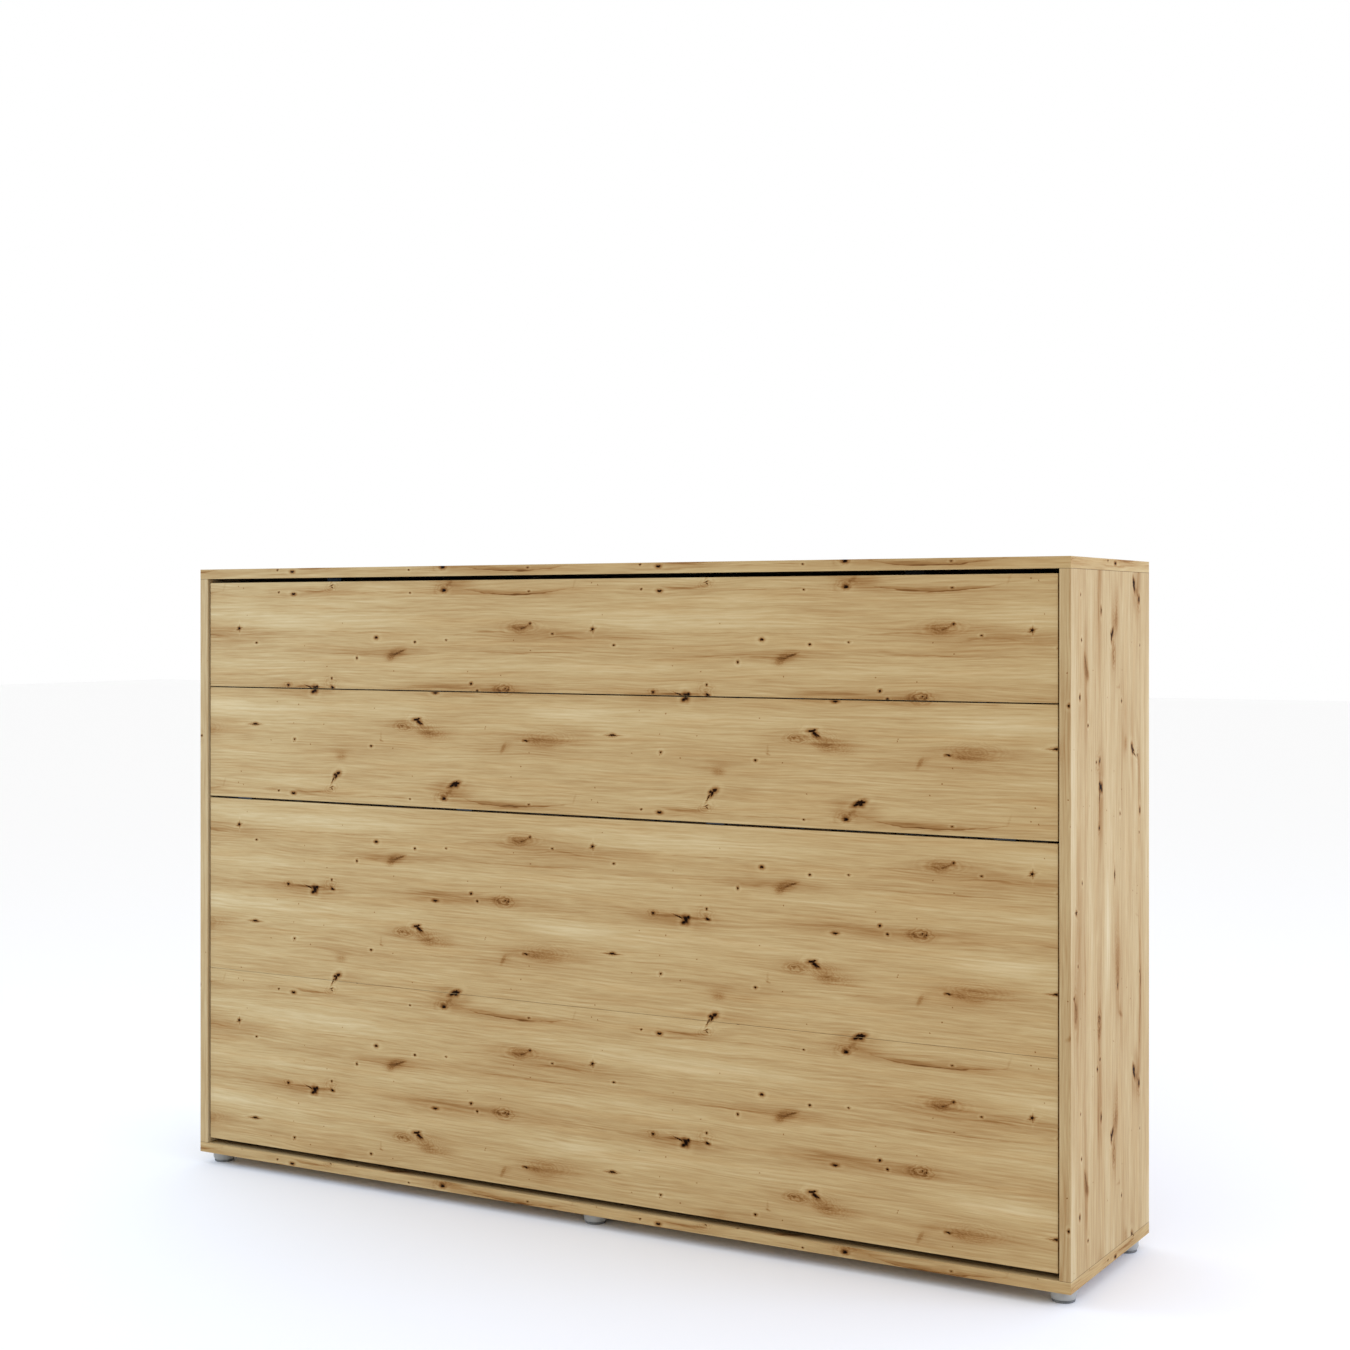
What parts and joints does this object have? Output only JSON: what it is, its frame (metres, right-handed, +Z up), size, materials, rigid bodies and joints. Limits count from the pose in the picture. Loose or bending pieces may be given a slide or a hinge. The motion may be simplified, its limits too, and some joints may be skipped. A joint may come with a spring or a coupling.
{
  "type": "murphy wall bed",
  "caption": "Horizontal murphy wall bed: an oak-look cabinet on round feet whose fronts tilt down with a slatted, strapped-in mattress while one front board drops out as the leg.",
  "frame": {"origin": "on the floor, below the centre of the cabinet's width and depth", "axes": "+X along the bed to the right seen from the front, +Y towards the wall (the fronts face -Y), +Z up"},
  "size_m": [2.11, 0.46, 1.377],
  "materials": {
    "oak_long": "satin",
    "oak_upright": "satin",
    "back_board": "matte",
    "grey_plastic": "satin",
    "dark_plastic": "satin",
    "dark_rubber": "matte",
    "zinc_steel": "satin",
    "turned_steel": "polished",
    "frame_paint": "satin",
    "bush_plastic": "satin",
    "slat_wood": "satin",
    "mattress_cover": "matte",
    "strap_web": "matte",
    "spring_paint": "satin",
    "rod_chrome": "polished"
  },
  "bodies": {
    "cabinet": {"side_left": "oak_upright", "side_right": "oak_upright", "top_board": "oak_long", "base_board": "oak_long", "back_rail_upper": "oak_long", "back_rail_lower": "oak_long", "back_panel_left": "back_board", "back_panel_right": "back_board", "back_panel_strip": "grey_plastic", "foot_front_left": "grey_plastic", "foot_front_middle": "grey_plastic", "foot_front_right": "grey_plastic", "foot_back_left": "grey_plastic", "foot_back_middle": "grey_plastic", "foot_back_right": "grey_plastic", "foot_pads": "dark_rubber", "foot_studs": "zinc_steel", "cam_locks": "zinc_steel", "cam_bolts": "zinc_steel", "pivot_plate_left": "zinc_steel", "pivot_plate_right": "zinc_steel", "pivot_pins": "turned_steel", "cabinet_spring_studs": "turned_steel", "plate_screws": "zinc_steel", "bumper_brackets": "zinc_steel", "bumpers": "dark_rubber", "wall_washers": "zinc_steel"},
    "bed": {"front_board_lower": "oak_long", "front_board_middle": "oak_long", "front_board_upper": "oak_long", "frame_rail_lower": "frame_paint", "frame_rail_upper": "frame_paint", "frame_end_left": "frame_paint", "frame_end_right": "frame_paint", "frame_centre_beam": "frame_paint", "tube_caps": "dark_plastic", "front_spacers": "dark_plastic", "front_screws": "zinc_steel", "arm_left": "zinc_steel", "arm_right": "zinc_steel", "arm_bolts": "zinc_steel", "pivot_bushes": "bush_plastic", "bed_spring_studs": "turned_steel", "slats": "slat_wood", "slat_holders": "dark_plastic", "mattress": "mattress_cover", "strap_left": "strap_web", "strap_right": "strap_web", "strap_anchors": "zinc_steel", "mattress_stops": "frame_paint", "leg_hinge_lugs": "zinc_steel"},
    "leg": {"leg_board": "oak_long", "leg_hinge_blocks": "zinc_steel", "leg_hinge_pins": "turned_steel", "leg_glides": "dark_plastic"},
    "cylinder_left": {"spring_cylinder_left": "spring_paint"},
    "cylinder_right": {"spring_cylinder_right": "spring_paint"},
    "rod_left": {"spring_rod_left": "rod_chrome"},
    "rod_right": {"spring_rod_right": "rod_chrome"}
  },
  "joints": [
    {"name": "bed_fold", "type": "hinge", "parent": "cabinet", "child": "bed", "pos_m": [0, -0.1753, 0.2842], "axis": [1, 0, 0], "range_deg": [0, 90]},
    {"name": "leg_fold", "type": "hinge", "parent": "bed", "child": "leg", "pos_m": [0, -0.2173, 1.0925], "axis": [1, 0, 0], "range_deg": [-90, 0]},
    {"name": "cylinder_left_swing", "type": "hinge", "parent": "cabinet", "child": "cylinder_left", "pos_m": [-1.01775, -0.12354, 0.47739], "axis": [1, 0, 0], "range_deg": [0, 45]},
    {"name": "cylinder_right_swing", "type": "hinge", "parent": "cabinet", "child": "cylinder_right", "pos_m": [1.01775, -0.12354, 0.47739], "axis": [1, 0, 0], "range_deg": [0, 45]},
    {"name": "rod_left_swing", "type": "hinge", "parent": "bed", "child": "rod_left", "pos_m": [-1.01775, -0.1753, 0.0842], "axis": [1, 0, 0], "range_deg": [-45, 0]},
    {"name": "rod_right_swing", "type": "hinge", "parent": "bed", "child": "rod_right", "pos_m": [1.01775, -0.1753, 0.0842], "axis": [1, 0, 0], "range_deg": [-45, 0]}
  ],
  "couplings": [
    {"joint": "leg_fold", "follows": "bed_fold", "ratio": -1},
    {"joint": "cylinder_left_swing", "follows": "bed_fold", "ratio": 0.5},
    {"joint": "cylinder_right_swing", "follows": "bed_fold", "ratio": 0.5},
    {"joint": "rod_left_swing", "follows": "bed_fold", "ratio": -0.5},
    {"joint": "rod_right_swing", "follows": "bed_fold", "ratio": -0.5}
  ]
}
